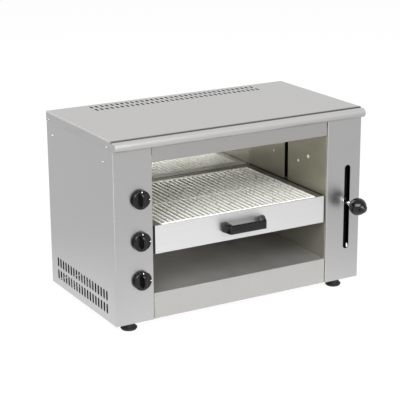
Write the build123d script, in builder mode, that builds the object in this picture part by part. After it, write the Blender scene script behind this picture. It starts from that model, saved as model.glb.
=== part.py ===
from build123d import *
import os

os.makedirs("parts", exist_ok=True)

# ---------------------------------------------------------------- driving dimensions (mm)
body_width = 800.0
body_depth = 426.0  # fascia to rear panel
body_height = 516.0  # lower edge of the panels to the top of the cover
foot_height = 31.0
sheet = 1.5  # stainless steel sheet
bend = 2.5  # outside radius of a folded corner
cover_drop = 28.0  # height of the folded edge of the top cover
nose_reach = 19.0  # how far the rounded front of the cover overhangs
opening_half = 283.5  # half the width between the two fascias
wall_half = 282.0  # inner face of the cavity walls
floor_top = 74.4
valance_bottom = 444.7
button_reach = 97.0  # tip of the release button, in front of the fascia
gland_reach = 26.0  # cable gland, behind the rear panel

half_width = body_width / 2
casing_top = body_height - cover_drop
ceiling_bottom = 463.0
rear_wall_front = body_depth - 5.0
# the box round the whole grill is centred on the origin, so the fascia stands here
front_y = -(body_depth + gland_reach - button_reach) / 2

# tray, grid and their carriage
tray_half = 276.0
tray_bottom = 187.0
tray_top = 267.0
pan_half = 253.5
pan_front = 6.0
pan_back = 390.5
pan_step = 12.0  # width of the ledge that carries the grid
ledge_top = 259.4
rim_top = 265.5
rod_radius = 3.6
rod_pitch = 16.0
rod_count = 32
rod_z = 264.0
grid_front = 12.0
grid_back = 384.5
travel_up = 105.0
travel_down = 107.0

# guides in the side compartments
slot_y = 212.0
slot_width = 19.0
slot_bottom = 105.0
slot_top = 432.0
guide_radius = 6.0
guide_x = 308.0
guide_spacing = 80.0
guide_low = 86.0
guide_high = 444.0
arm_low = 216.0
arm_high = 246.0

# height lever
lever_x = 355.0
lever_z = 237.0
lever_slot_low = 94.3
lever_slot_high = 349.3
lever_slot_width = 20.0
lever_radius = 6.0
push_radius = 2.5
ball_radius = 25.5
ball_y = -55.0
shoe_y = 33.3

# tray handle
handle_screw_x = 60.5

# controls
knob_x = -321.0
knob_heights = {"upper": 349.4, "middle": 231.4, "lower": 120.4}
knob_radius = 26.7
spindle_radius = 3.0

# heating elements
element_radius = 4.0
element_z = 455.0
element_legs = 6
element_pitch = 47.0
element_outer = 257.0
element_bend = 16.0
element_back = 395.0

# feet and the cable inlet
foot_x = 342.0
foot_front = 42.0
foot_back = 384.0
foot_radius = 22.7
foot_neck = 15.0
gland_x = -340.0
gland_z = 60.0
gland_bore = 5.0

running = 0.08  # radial clearance of a sliding fit
seated = 0.05  # radial clearance of a piece that is fixed in its hole


# ---------------------------------------------------------------- helpers
# Lengths along Y count back from the fascia, heights count up from the panels' lower edge.
def middle(span):
    return (span[0] + span[1]) / 2


def block(x, y, z, mode=Mode.ADD):
    """A box between the given pairs of limits."""
    with Locations((middle(x), front_y + middle(y), foot_height + middle(z))):
        Box(abs(x[1] - x[0]), abs(y[1] - y[0]), abs(z[1] - z[0]), mode=mode)


def bar_x(x, y, z, radius, mode=Mode.ADD):
    """A round bar along X, between two limits of x."""
    with Locations((middle(x), front_y + y, foot_height + z)):
        Cylinder(radius, abs(x[1] - x[0]), rotation=(0, 90, 0), mode=mode)


def bar_y(x, y, z, radius, mode=Mode.ADD):
    """A round bar along Y, between two limits of y."""
    with Locations((x, front_y + middle(y), foot_height + z)):
        Cylinder(radius, abs(y[1] - y[0]), rotation=(90, 0, 0), mode=mode)


def bar_z(x, y, z, radius, mode=Mode.ADD):
    """A round bar along Z, between two limits of z."""
    with Locations((x, front_y + y, foot_height + middle(z))):
        Cylinder(radius, abs(z[1] - z[0]), mode=mode)


def plan(z):
    """Level plane at a height: its own axes run along X and Y."""
    return Plane(origin=(0, front_y, foot_height + z), x_dir=(1, 0, 0), z_dir=(0, 0, 1))


def front(y):
    """Upright plane behind the fascia: its own axes run along X and Z, and it faces forwards."""
    return Plane(origin=(0, front_y + y, foot_height), x_dir=(1, 0, 0), z_dir=(0, -1, 0))


def side(x):
    """Upright plane across the grill: its own axes run along Y and Z, and it faces +X."""
    return Plane(origin=(x, front_y, foot_height), x_dir=(0, 1, 0), z_dir=(1, 0, 0))


def pan_head(plane, radius=4.2, height=2.2, shank=2.0, length=10.0):
    """Domed screw: the head stands on the plane, and the shank goes back through it."""
    with BuildSketch(plane) as head:
        Circle(radius)
    extrude(head.sketch, amount=height, taper=24)
    with BuildSketch(plane) as stem:
        Circle(shank)
    extrude(stem.sketch, amount=-length)


# ---------------------------------------------------------------- side casings
casing_lap = 378.0  # inner edge of the rear flange
return_depth = 10.0
tab_top = 512.0
vent_count = 19
vent_pitch = 17.9
vent_length = 28.5
vent_width = 9.4
vent_y = 216.0
vent_z = 54.75
vent_row_pitch = 37.5
side_screw_places = ((58.0, 450.0), (385.0, 452.0))
cover_screw_places = ((35.0, 495.0), (412.0, 493.0))
rear_screw_x = 388.0
rear_screw_heights = (30.0, 170.0, 310.0, 462.0)
screw_hole = 2.2


def casing(hand):
    """Folded sheet: return flange, fascia, side and rear flange, with a tab for the cover."""
    with BuildSketch(plan(0)) as fold:
        with Locations((hand * (half_width + opening_half) / 2, body_depth / 2)):
            RectangleRounded(half_width - opening_half, body_depth, bend)
            RectangleRounded(
                half_width - opening_half - 2 * sheet,
                body_depth - 2 * sheet,
                bend - sheet,
                mode=Mode.SUBTRACT,
            )
        with Locations((hand * (casing_lap + opening_half - 1) / 2, (return_depth + body_depth + 1) / 2)):
            Rectangle(casing_lap - opening_half + 1, body_depth - return_depth + 1, mode=Mode.SUBTRACT)
    extrude(fold.sketch, amount=casing_top)
    block(
        (hand * (half_width - 2 * sheet), hand * (half_width - sheet)),
        (20, body_depth - 12),
        (casing_top - 18, tab_top),
    )
    with BuildSketch(side(hand * half_width)) as vents:
        with Locations((vent_y, vent_z)):
            with GridLocations(vent_pitch, vent_row_pitch, vent_count, 2):
                SlotOverall(vent_length, vent_width, rotation=90)
    extrude(vents.sketch, amount=4, both=True, mode=Mode.SUBTRACT)
    outer = (hand * (half_width - 8), hand * (half_width + 1))
    for y, z in side_screw_places + cover_screw_places:
        bar_x(outer, y, z, screw_hole, mode=Mode.SUBTRACT)
    for z in rear_screw_heights:
        bar_y(hand * rear_screw_x, (body_depth - 4, body_depth + 1), z, screw_hole, mode=Mode.SUBTRACT)


with BuildPart() as left_casing:
    casing(-1)
    for knob_z in knob_heights.values():
        bar_y(knob_x, (-1, 4), knob_z, spindle_radius + 2, mode=Mode.SUBTRACT)
left_casing.part.label = "left_casing"
export_step(left_casing.part, "parts/left_casing.step")

with BuildPart() as right_casing:
    casing(1)
    with BuildSketch(front(0)):
        with Locations((lever_x, (lever_slot_low + lever_slot_high) / 2)):
            SlotOverall(lever_slot_high - lever_slot_low, lever_slot_width, rotation=90)
    extrude(amount=4, both=True, mode=Mode.SUBTRACT)
right_casing.part.label = "right_casing"
export_step(right_casing.part, "parts/right_casing.step")

# ---------------------------------------------------------------- top cover
top_vent_count = 34
top_vent_pitch = 16.4
top_vent_rows = (361.0, 396.0)
top_vent_length = 22.0
top_vent_width = 7.0
crease_y = 6.0  # where the flat top steps down to the rounded nose
crease_step = 2.6
nose_radius = 12.5
nose_lip = 12.0


def cover_outline():
    """Side view of the cover: flat top, rounded nose and rear fold."""
    round_low = (-nose_reach + nose_radius, casing_top + nose_radius)
    round_high = (-nose_reach + nose_radius, body_height - crease_step - nose_radius)
    with BuildLine() as outline:
        Line((body_depth, casing_top), (body_depth, body_height))
        Line((body_depth, body_height), (crease_y, body_height))
        Line((crease_y, body_height), (crease_y - 2.0, body_height - crease_step))
        Line((crease_y - 2.0, body_height - crease_step), (round_high[0], body_height - crease_step))
        CenterArc(round_high, nose_radius, 90, 90)
        Line((-nose_reach, round_high[1]), (-nose_reach, round_low[1]))
        CenterArc(round_low, nose_radius, 180, 90)
        Line((round_low[0], casing_top), (body_depth, casing_top))
    make_face(outline.edges())


with BuildPart() as top_cover:
    with BuildSketch(side(-half_width)):
        cover_outline()
        offset(amount=-sheet, mode=Mode.SUBTRACT)
        with Locations(((nose_lip + body_depth - sheet) / 2, casing_top)):
            Rectangle(body_depth - sheet - nose_lip, 3 * sheet, mode=Mode.SUBTRACT)
    extrude(amount=body_width)
    for end_x in (-half_width, half_width - sheet):
        with BuildSketch(side(end_x)):
            cover_outline()
        extrude(amount=sheet)
    for row_y in top_vent_rows:
        with BuildSketch(plan(body_height)):
            with Locations((0, row_y)):
                with GridLocations(top_vent_pitch, 1, top_vent_count, 1):
                    SlotOverall(top_vent_length, top_vent_width, rotation=90)
        extrude(amount=-5, mode=Mode.SUBTRACT)
    for y, z in cover_screw_places:
        bar_x((-half_width - 1, -half_width + 4), y, z, screw_hole, mode=Mode.SUBTRACT)
        bar_x((half_width - 4, half_width + 1), y, z, screw_hole, mode=Mode.SUBTRACT)
top_cover.part.label = "top_cover"
export_step(top_cover.part, "parts/top_cover.step")

# ---------------------------------------------------------------- rear panel and base
rear_panel_half = 396.0
rear_panel_front = body_depth - 2 * sheet
bond_x = -312.0
rear_vent_z = 400.0

with BuildPart() as back_panel:
    block((-rear_panel_half, rear_panel_half), (rear_panel_front, body_depth - sheet), (3, casing_top - 2))
    with BuildSketch(front(body_depth)):
        with Locations((0, rear_vent_z)):
            with GridLocations(25, 40, 21, 2):
                SlotOverall(28, 6, rotation=90)
    extrude(amount=8, mode=Mode.SUBTRACT)
    bar_y(gland_x, (rear_panel_front - 1, body_depth), gland_z, 8 + seated, mode=Mode.SUBTRACT)
    bar_y(bond_x, (rear_panel_front - 1, body_depth), gland_z, 3 + seated, mode=Mode.SUBTRACT)
    for hand in (-1, 1):
        for z in rear_screw_heights:
            bar_y(hand * rear_screw_x, (rear_panel_front - 1, body_depth), z, screw_hole, mode=Mode.SUBTRACT)
back_panel.part.label = "back_panel"
export_step(back_panel.part, "parts/back_panel.step")

base_half = half_width - sheet
with BuildPart() as base_plate:
    block((-base_half, base_half), (2 * sheet + 1.6, rear_panel_front), (0, sheet))
    for hand in (-1, 1):
        notch_x = (hand * (opening_half - 1), hand * (opening_half + 3))
        block(notch_x, (2 * sheet, return_depth + 1), (-1, 3), mode=Mode.SUBTRACT)
    for hand in (-1, 1):
        block((hand * (base_half - sheet), hand * base_half), (12, body_depth - 12), (0, 16))
    with BuildSketch(plan(0)):
        with Locations((0, body_depth / 2)):
            with GridLocations(24, 60, 19, 4):
                SlotOverall(40, 6, rotation=90)
    extrude(amount=4, both=True, mode=Mode.SUBTRACT)
    for foot_place_x in (-foot_x, foot_x):
        for foot_place_y in (foot_front, foot_back):
            bar_z(foot_place_x, foot_place_y, (-1, 3), 4 + seated, mode=Mode.SUBTRACT)
base_plate.part.label = "base_plate"
export_step(base_plate.part, "parts/base_plate.step")

# ---------------------------------------------------------------- cavity lining
panel_front = 3.0  # face of the panels between the fascias
panel_half = 281.7

with BuildPart() as floor_panel:
    with BuildSketch(side(-panel_half)):
        with BuildLine():
            fold_centre = (panel_front + bend, floor_top - bend)
            Line((panel_front + sheet, 0), (panel_front, 0))
            Line((panel_front, 0), (panel_front, floor_top - bend))
            CenterArc(fold_centre, bend, 90, 90)
            Line((panel_front + bend, floor_top), (rear_wall_front, floor_top))
            Line((rear_wall_front, floor_top), (rear_wall_front, floor_top - sheet))
            Line((rear_wall_front, floor_top - sheet), (panel_front + bend, floor_top - sheet))
            CenterArc(fold_centre, bend - sheet, 90, 90)
            Line((panel_front + sheet, floor_top - bend), (panel_front + sheet, 0))
        make_face()
    extrude(amount=2 * panel_half)
floor_panel.part.label = "floor_panel"
export_step(floor_panel.part, "parts/floor_panel.step")

with BuildPart() as valance:
    block((-panel_half, panel_half), (panel_front, panel_front + sheet), (valance_bottom, casing_top))
    block((-panel_half, panel_half), (panel_front, 14), (valance_bottom, valance_bottom + sheet))
    block((-panel_half, panel_half), (panel_front, 14), (casing_top - sheet, casing_top))
    lower_edge = valance.edges().filter_by(Axis.X).sort_by(Axis.Z)[0:2].sort_by(Axis.Y)[0]
    fillet(lower_edge, 1.2)
valance.part.label = "valance"
export_step(valance.part, "parts/valance.step")

wall_top = 468.0
wall_front = 5.0
wall_screw_places = ((147.0, 339.0), (280.0, 340.0))
wall_bolt_place = (96.0, 363.0)


def cavity_wall(hand):
    """Side wall of the cavity, with the upright slot that the carriage arm passes through."""
    block((hand * wall_half, hand * (wall_half + sheet)), (wall_front, rear_wall_front), (sheet, wall_top))
    block(
        (hand * (wall_half - 1), hand * (wall_half + 3)),
        (slot_y - slot_width / 2, slot_y + slot_width / 2),
        (slot_bottom, slot_top),
        mode=Mode.SUBTRACT,
    )
    through = (hand * (wall_half - 1), hand * (wall_half + 3))
    for y, z in wall_screw_places:
        bar_x(through, y, z, screw_hole, mode=Mode.SUBTRACT)
    bar_x(through, wall_bolt_place[0], wall_bolt_place[1], 3.2, mode=Mode.SUBTRACT)


with BuildPart() as left_cavity_wall:
    cavity_wall(-1)
left_cavity_wall.part.label = "left_cavity_wall"
export_step(left_cavity_wall.part, "parts/left_cavity_wall.step")

with BuildPart() as right_cavity_wall:
    cavity_wall(1)
right_cavity_wall.part.label = "right_cavity_wall"
export_step(right_cavity_wall.part, "parts/right_cavity_wall.step")

with BuildPart() as cavity_back_wall:
    block((-300, 300), (rear_wall_front, rear_wall_front + sheet), (sheet, wall_top))
cavity_back_wall.part.label = "cavity_back_wall"
export_step(cavity_back_wall.part, "parts/cavity_back_wall.step")

terminal_places = []
for zone in (-1, 1):
    for leg in (0, element_legs - 1):
        terminal_places.append((zone * (element_outer - leg * element_pitch), element_back))

with BuildPart() as ceiling_reflector:
    ceiling_y = (panel_front + sheet, rear_wall_front)
    block((-wall_half, wall_half), ceiling_y, (ceiling_bottom, ceiling_bottom + sheet))
    for x, y in terminal_places:
        bar_z(x, y, (ceiling_bottom - 1, ceiling_bottom + 4), 8, mode=Mode.SUBTRACT)
ceiling_reflector.part.label = "ceiling_reflector"
export_step(ceiling_reflector.part, "parts/ceiling_reflector.step")

with BuildPart() as insulation_blanket:
    block((-wall_half + 1, wall_half - 1), (16, rear_wall_front - 1), (ceiling_bottom + sheet, 484))
    for x, y in terminal_places:
        bar_z(x, y, (ceiling_bottom, 486), 9.5, mode=Mode.SUBTRACT)
insulation_blanket.part.label = "insulation_blanket"
export_step(insulation_blanket.part, "parts/insulation_blanket.step")


# ---------------------------------------------------------------- heating elements
def element_route(zone):
    """Corners of one zone's tube: up at both ends, and back and forth under the ceiling."""
    front_turn = 34.0
    back_turn = 368.0
    xs = [zone * (element_outer - leg * element_pitch) for leg in range(element_legs)]
    level = foot_height + element_z
    points = [(xs[0], front_y + element_back, foot_height + 492), (xs[0], front_y + element_back, level)]
    for leg in range(element_legs - 1):
        turn_y = front_y + (front_turn if leg % 2 == 0 else back_turn)
        points.append((xs[leg], turn_y, level))
        points.append((xs[leg + 1], turn_y, level))
    points.append((xs[-1], front_y + element_back, level))
    points.append((xs[-1], front_y + element_back, foot_height + 492))
    return points


def heating_element(zone):
    """Tubular element swept along its bends."""
    route = element_route(zone)
    with BuildLine() as path:
        FilletPolyline(*route, radius=element_bend)
    with BuildSketch(Plane(origin=route[0], z_dir=(0, 0, -1))) as section:
        Circle(element_radius)
    sweep(section.sketch, path=path.line)


with BuildPart() as left_heating_element:
    heating_element(-1)
left_heating_element.part.label = "left_heating_element"
export_step(left_heating_element.part, "parts/left_heating_element.step")

with BuildPart() as right_heating_element:
    heating_element(1)
right_heating_element.part.label = "right_heating_element"
export_step(right_heating_element.part, "parts/right_heating_element.step")

bracket_top = element_z - element_radius - 0.1
with BuildPart() as element_brackets:
    for bracket_y in (100.0, 300.0):
        block((-wall_half, wall_half), (bracket_y - 1, bracket_y + 1), (bracket_top - 5.4, bracket_top))
        for hand in (-1, 1):
            block(
                (hand * (wall_half - 2), hand * wall_half),
                (bracket_y - 8, bracket_y + 8),
                (bracket_top - 5.4, bracket_top + 8),
            )
element_brackets.part.label = "element_brackets"
export_step(element_brackets.part, "parts/element_brackets.step")

with BuildPart() as element_bushes:
    for x, y in terminal_places:
        bar_z(x, y, (472, 490), 6.5)
        bar_z(x, y, (484.2, 486.4), 10.5)
        bar_z(x, y, (471, 491), element_radius + seated, mode=Mode.SUBTRACT)
element_bushes.part.label = "element_bushes"
export_step(element_bushes.part, "parts/element_bushes.step")

# ---------------------------------------------------------------- feet and fasteners
foot_places = {
    "front_left_foot": (-foot_x, foot_front),
    "front_right_foot": (foot_x, foot_front),
    "rear_left_foot": (-foot_x, foot_back),
    "rear_right_foot": (foot_x, foot_back),
}
for foot_name, (x, y) in foot_places.items():
    with BuildPart() as foot:
        with BuildSketch(Plane(origin=(x, front_y + y, 0), x_dir=(1, 0, 0), z_dir=(0, -1, 0))):
            with BuildLine():
                Line((0, 0), (foot_radius - 2.5, 0))
                ThreePointArc((foot_radius - 2.5, 0), (foot_radius - 0.5, 2.2), (foot_radius, 5.5))
                ThreePointArc((foot_radius, 5.5), (foot_radius - 2.2, 11.5), (foot_neck + 1, 17.5))
                Line((foot_neck + 1, 17.5), (foot_neck, foot_height))
                Line((foot_neck, foot_height), (0, foot_height))
                Line((0, foot_height), (0, 0))
            make_face()
        revolve(axis=Axis((x, front_y + y, 0), (0, 0, 1)))
        bar_z(x, y, (-12, 1), 4 + seated, mode=Mode.SUBTRACT)
    foot.part.label = foot_name
    export_step(foot.part, f"parts/{foot_name}.step")

with BuildPart() as foot_screws:
    for x, y in foot_places.values():
        bar_z(x, y, (-11.5, 14), 4)
        with BuildSketch(plan(sheet)):
            with Locations((x, y)):
                RegularPolygon(7.5, 6)
        extrude(amount=6.5)
foot_screws.part.label = "foot_screws"
export_step(foot_screws.part, "parts/foot_screws.step")

with BuildPart() as casing_screws:
    for hand in (-1, 1):
        for y, z in cover_screw_places + side_screw_places:
            place = Vector(hand * half_width, front_y + y, foot_height + z)
            pan_head(Plane(origin=place, x_dir=(0, 1, 0), z_dir=(hand, 0, 0)))
        for z in rear_screw_heights:
            place = Vector(hand * rear_screw_x, front_y + body_depth, foot_height + z)
            pan_head(Plane(origin=place, x_dir=(1, 0, 0), z_dir=(0, 1, 0)))
casing_screws.part.label = "casing_screws"
export_step(casing_screws.part, "parts/casing_screws.step")

with BuildPart() as wall_screws:
    for hand in (-1, 1):
        for y, z in wall_screw_places:
            place = Vector(hand * wall_half, front_y + y, foot_height + z)
            inwards = Plane(origin=place, x_dir=(0, 1, 0), z_dir=(-hand, 0, 0))
            pan_head(inwards, radius=4, height=1.0, length=7)
wall_screws.part.label = "wall_screws"
export_step(wall_screws.part, "parts/wall_screws.step")

with BuildPart() as wall_bolts:
    for hand in (-1, 1):
        place = Vector(hand * wall_half, front_y + wall_bolt_place[0], foot_height + wall_bolt_place[1])
        inwards = Plane(origin=place, x_dir=(0, 1, 0), z_dir=(-hand, 0, 0))
        pan_head(inwards, radius=7, height=1.0, shank=3, length=12)
wall_bolts.part.label = "wall_bolts"
export_step(wall_bolts.part, "parts/wall_bolts.step")


# ---------------------------------------------------------------- guides for the carriage
frame_near = wall_half + sheet
frame_face = frame_near + 2.0
frame_far = 330.0
guide_places = (slot_y - guide_spacing / 2, slot_y + guide_spacing / 2)


def guide_frame(hand):
    """Bracket on the outer side of a cavity wall: back plate, ear and the lugs that hold the rods."""
    lug = 4.0
    block((hand * frame_near, hand * frame_face), (140, 284), (guide_low, guide_high))
    block((hand * frame_near, hand * frame_face), (84, 140), (350, 376))
    block((hand * frame_face, hand * frame_far), (150, 274), (guide_low, guide_low + lug))
    block((hand * frame_face, hand * frame_far), (150, 274), (guide_high - lug, guide_high))
    block(
        (hand * (frame_near - 1), hand * (frame_face + 1)),
        (slot_y - 14, slot_y + 14),
        (guide_low + 12, guide_high - 6),
        mode=Mode.SUBTRACT,
    )
    for rod_y in guide_places:
        rod_z = (guide_low - 1, guide_high + 1)
        bar_z(hand * guide_x, rod_y, rod_z, guide_radius + seated, mode=Mode.SUBTRACT)
    through = (hand * (frame_near - 1), hand * (frame_face + 1))
    for y, z in wall_screw_places:
        bar_x(through, y, z, screw_hole, mode=Mode.SUBTRACT)
    bar_x(through, wall_bolt_place[0], wall_bolt_place[1], 3.2, mode=Mode.SUBTRACT)


with BuildPart() as left_guide_frame:
    guide_frame(-1)
left_guide_frame.part.label = "left_guide_frame"
export_step(left_guide_frame.part, "parts/left_guide_frame.step")

with BuildPart() as right_guide_frame:
    guide_frame(1)
right_guide_frame.part.label = "right_guide_frame"
export_step(right_guide_frame.part, "parts/right_guide_frame.step")

with BuildPart() as left_guide_rods:
    for rod_y in guide_places:
        bar_z(-guide_x, rod_y, (guide_low, guide_high), guide_radius)
left_guide_rods.part.label = "left_guide_rods"
export_step(left_guide_rods.part, "parts/left_guide_rods.step")

with BuildPart() as right_guide_rods:
    for rod_y in guide_places:
        bar_z(guide_x, rod_y, (guide_low, guide_high), guide_radius)
right_guide_rods.part.label = "right_guide_rods"
export_step(right_guide_rods.part, "parts/right_guide_rods.step")

brake_x = (366.0, 376.0)
brake_low = 85.0
brake_high = 369.0
with BuildPart() as brake_strap:
    block(brake_x, (shoe_y - 3.3, shoe_y - 0.3), (brake_low, brake_high))
    for leg_low, flange_low in ((brake_low, brake_low - 15), (brake_high - 3, brake_high - 1.5)):
        block(brake_x, (sheet, shoe_y - 0.3), (leg_low, leg_low + 3))
        block(brake_x, (sheet, 2 * sheet), (flange_low, flange_low + 16.5))
brake_strap.part.label = "brake_strap"
export_step(brake_strap.part, "parts/brake_strap.step")

# ---------------------------------------------------------------- carriage
rail_near = 277.5
rail_far = 280.5
rail_front = 3.5
rail_back = 416.0
block_near = 290.0
block_far = 326.0
block_y = (156.0, 268.0)
block_z = (201.0, 261.0)


def carriage_rail(hand):
    """Angle that the tray's rim slides on: upright plate with an inner ledge."""
    block((hand * rail_near, hand * rail_far), (rail_front, rail_back), (tray_bottom, tray_top))
    block((hand * 256.0, hand * rail_near), (12, rail_back), (260.7, 263.7))


def slide_block(hand):
    """Block that runs on the two rods, with the arm that reaches through the wall slot."""
    block((hand * block_near, hand * block_far), block_y, block_z)
    block((hand * rail_far, hand * block_near), (slot_y - 6, slot_y + 6), (arm_low, arm_high))
    for rod_y in guide_places:
        bore_z = (block_z[0] - 1, block_z[1] + 1)
        bar_z(hand * guide_x, rod_y, bore_z, guide_radius + running, mode=Mode.SUBTRACT)


with BuildPart() as left_carriage_rail:
    carriage_rail(-1)
left_carriage_rail.part.label = "left_carriage_rail"
export_step(left_carriage_rail.part, "parts/left_carriage_rail.step")

with BuildPart() as right_carriage_rail:
    carriage_rail(1)
right_carriage_rail.part.label = "right_carriage_rail"
export_step(right_carriage_rail.part, "parts/right_carriage_rail.step")

with BuildPart() as rear_cross_bar:
    block((-rail_near, rail_near), (396, 399), (190, 258))
    block((-rail_near, rail_near), (396, 410), (187, 190))
rear_cross_bar.part.label = "rear_cross_bar"
export_step(rear_cross_bar.part, "parts/rear_cross_bar.step")

with BuildPart() as bottom_tie:
    block((-rail_near, rail_near), (slot_y - 20, slot_y + 20), (187, 190))
bottom_tie.part.label = "bottom_tie"
export_step(bottom_tie.part, "parts/bottom_tie.step")

with BuildPart() as left_slide_block:
    slide_block(-1)
left_slide_block.part.label = "left_slide_block"
export_step(left_slide_block.part, "parts/left_slide_block.step")

with BuildPart() as right_slide_block:
    slide_block(1)
right_slide_block.part.label = "right_slide_block"
export_step(right_slide_block.part, "parts/right_slide_block.step")

arm_half = 8.0
arm_wall = 2.0
arm_front = 14.0
arm_back = 150.0
spring_stop = 60.0
with BuildPart() as lever_arm:
    arm_x = (lever_x - arm_half, lever_x + arm_half)
    arm_z = (lever_z - arm_half, lever_z + arm_half)
    bore_x = (arm_x[0] + arm_wall, arm_x[1] - arm_wall)
    bore_z = (arm_z[0] + arm_wall, arm_z[1] - arm_wall)
    block(arm_x, (arm_front, arm_back), arm_z)
    block(bore_x, (arm_front + arm_wall, spring_stop), bore_z, mode=Mode.SUBTRACT)
    block(bore_x, (spring_stop + arm_wall, arm_back + 1), bore_z, mode=Mode.SUBTRACT)
    bar_y(lever_x, (arm_front - 1, spring_stop + 4), lever_z, push_radius + 0.2, mode=Mode.SUBTRACT)
    block((lever_x, arm_x[1] + 1), (35, 48), (lever_z - 2.5, lever_z + 2.5), mode=Mode.SUBTRACT)
    block((300, arm_x[1]), (arm_back, block_y[0]), (lever_z - 18, lever_z + 18))
lever_arm.part.label = "lever_arm"
export_step(lever_arm.part, "parts/lever_arm.step")

with BuildPart() as lever_rod:
    bar_y(lever_x, (-46, arm_front), lever_z, lever_radius)
    bar_y(lever_x, (-32, -26), lever_z, lever_radius + 3)
    bar_y(lever_x, (-47, arm_front + 1), lever_z, push_radius + running, mode=Mode.SUBTRACT)
lever_rod.part.label = "lever_rod"
export_step(lever_rod.part, "parts/lever_rod.step")

button_radius = 11.5
button_seat = -66.0
button_back = -73.0
with BuildPart() as ball_knob:
    with Locations((lever_x, front_y + ball_y, foot_height + lever_z)):
        Sphere(ball_radius)
    block(
        (lever_x - 30, lever_x + 30), (-32, -20), (lever_z - 30, lever_z + 30), mode=Mode.SUBTRACT
    )
    bar_y(lever_x, (-46, -20), lever_z, lever_radius + seated, mode=Mode.SUBTRACT)
    bar_y(lever_x, (button_seat, -45), lever_z, push_radius + 0.3, mode=Mode.SUBTRACT)
    bar_y(lever_x, (-90, button_seat), lever_z, button_radius + 0.3, mode=Mode.SUBTRACT)
ball_knob.part.label = "ball_knob"
export_step(ball_knob.part, "parts/ball_knob.step")

with BuildPart() as release_button:
    bar_y(lever_x, (-button_reach, button_back), lever_z, button_radius)
    fillet(release_button.edges().sort_by(Axis.Y)[0], 8.5)
    bar_y(lever_x, (-80, -60), lever_z, push_radius + seated, mode=Mode.SUBTRACT)
release_button.part.label = "release_button"
export_step(release_button.part, "parts/release_button.step")

with BuildPart() as push_rod:
    bar_y(lever_x, (-80, 66), lever_z, push_radius)
    bar_x((lever_x, brake_x[0]), 38, lever_z, 2.0)
    block((364.5, brake_x[1]), (shoe_y, shoe_y + 10), (lever_z - 6, lever_z + 6))
push_rod.part.label = "push_rod"
export_step(push_rod.part, "parts/push_rod.step")

spring_front = 41.0
spring_turns = 6
wire_radius = 0.6
spring_radius = 4.0
with BuildPart() as release_spring:
    spring_length = spring_stop - spring_front - 4 * wire_radius
    spring_end = (lever_x, front_y + spring_front + 2 * wire_radius, foot_height + lever_z)
    with BuildLine() as coil:
        pitch = spring_length / spring_turns
        Helix(pitch, spring_length, spring_radius, center=spring_end, direction=(0, 1, 0))
    with BuildSketch(Plane(origin=coil.line @ 0, z_dir=coil.line % 0)):
        Circle(wire_radius)
    sweep(path=coil.line, is_frenet=True)
release_spring.part.label = "release_spring"
export_step(release_spring.part, "parts/release_spring.step")

# ---------------------------------------------------------------- tray
with BuildPart() as tray_front:
    block((-tray_half, tray_half), (2, 2 + sheet), (tray_bottom, tray_top))
    block((-tray_half, tray_half), (2, pan_front), (tray_top - sheet, tray_top))
    block((-tray_half, tray_half), (2, 12), (tray_bottom, tray_bottom + sheet))
    for hand in (-1, 1):
        block((hand * (tray_half - sheet), hand * tray_half), (2, 12), (tray_bottom, tray_top))
        bar_y(hand * handle_screw_x, (1, 5), 230, screw_hole, mode=Mode.SUBTRACT)
    rim = tray_front.faces().sort_by(Axis.Y)[0].edges()
    fillet(rim, 1.2)
tray_front.part.label = "tray_front"
export_step(tray_front.part, "parts/tray_front.step")

pan_bottom = 194.0
pan_corner = 4.0
inner_half = pan_half - pan_step
with BuildPart() as drip_tray:
    block((-pan_half, pan_half), (pan_front, pan_back), (ledge_top - sheet, rim_top))
    block(
        (-inner_half, inner_half),
        (pan_front + pan_step, pan_back - pan_step),
        (pan_bottom, ledge_top - sheet),
    )
    lower_corners = drip_tray.edges().filter_by(Axis.Z).filter_by_position(
        Axis.Z, foot_height + pan_bottom, foot_height + ledge_top - sheet
    )
    fillet(lower_corners, pan_corner)
    for hand in (-1, 1):
        block((hand * pan_half, hand * 275), (12, 416), (rim_top - sheet, rim_top))
    block((-pan_half, pan_half), (pan_back, 416), (rim_top - sheet, rim_top))
    block((-230, 230), (2 + sheet, 20), (pan_bottom, pan_bottom + sheet))
    block(
        (-pan_half + sheet, pan_half - sheet),
        (pan_front + sheet, pan_back - sheet),
        (ledge_top, rim_top + 1),
        mode=Mode.SUBTRACT,
    )
    with BuildSketch(plan(pan_bottom + sheet)):
        with Locations((0, (pan_front + pan_back) / 2)):
            RectangleRounded(
                2 * (inner_half - sheet), pan_back - pan_front - 2 * (pan_step + sheet), pan_corner - sheet
            )
    extrude(amount=ledge_top, mode=Mode.SUBTRACT)
drip_tray.part.label = "drip_tray"
export_step(drip_tray.part, "parts/drip_tray.step")

with BuildPart() as tray_handle:
    with BuildSketch(plan(200)):
        with BuildLine():
            Polyline((-69.5, 2), (-69.5, -6), (-58, -33), (58, -33), (69.5, -6), (69.5, 2), close=True)
        make_face()
        with BuildLine():
            Polyline((-52, 3), (-52, -3), (-47, -24.5), (47, -24.5), (52, -3), (52, 3), close=True)
        make_face(mode=Mode.SUBTRACT)
    extrude(amount=60)
    with BuildSketch(side(-80)):
        with BuildLine():
            Polyline((2, 244), (2, 217), (-20, 213.5), (-33, 213.5), (-33, 237.5), (-22, 239), close=True)
        make_face()
    extrude(amount=160, mode=Mode.INTERSECT)
    long_edges = tray_handle.edges().filter_by(Axis.X).sort_by(Axis.Y)[0:2]
    fillet(long_edges, 3.0)
    for hand in (-1, 1):
        bar_y(hand * handle_screw_x, (-10, 3), 230, 2 + seated, mode=Mode.SUBTRACT)
tray_handle.part.label = "tray_handle"
export_step(tray_handle.part, "parts/tray_handle.step")

with BuildPart() as handle_screws:
    for hand in (-1, 1):
        place = Vector(hand * handle_screw_x, front_y + 2 + sheet, foot_height + 230)
        pan_head(Plane(origin=place, x_dir=(1, 0, 0), z_dir=(0, 1, 0)), length=11)
handle_screws.part.label = "handle_screws"
export_step(handle_screws.part, "parts/handle_screws.step")

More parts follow.
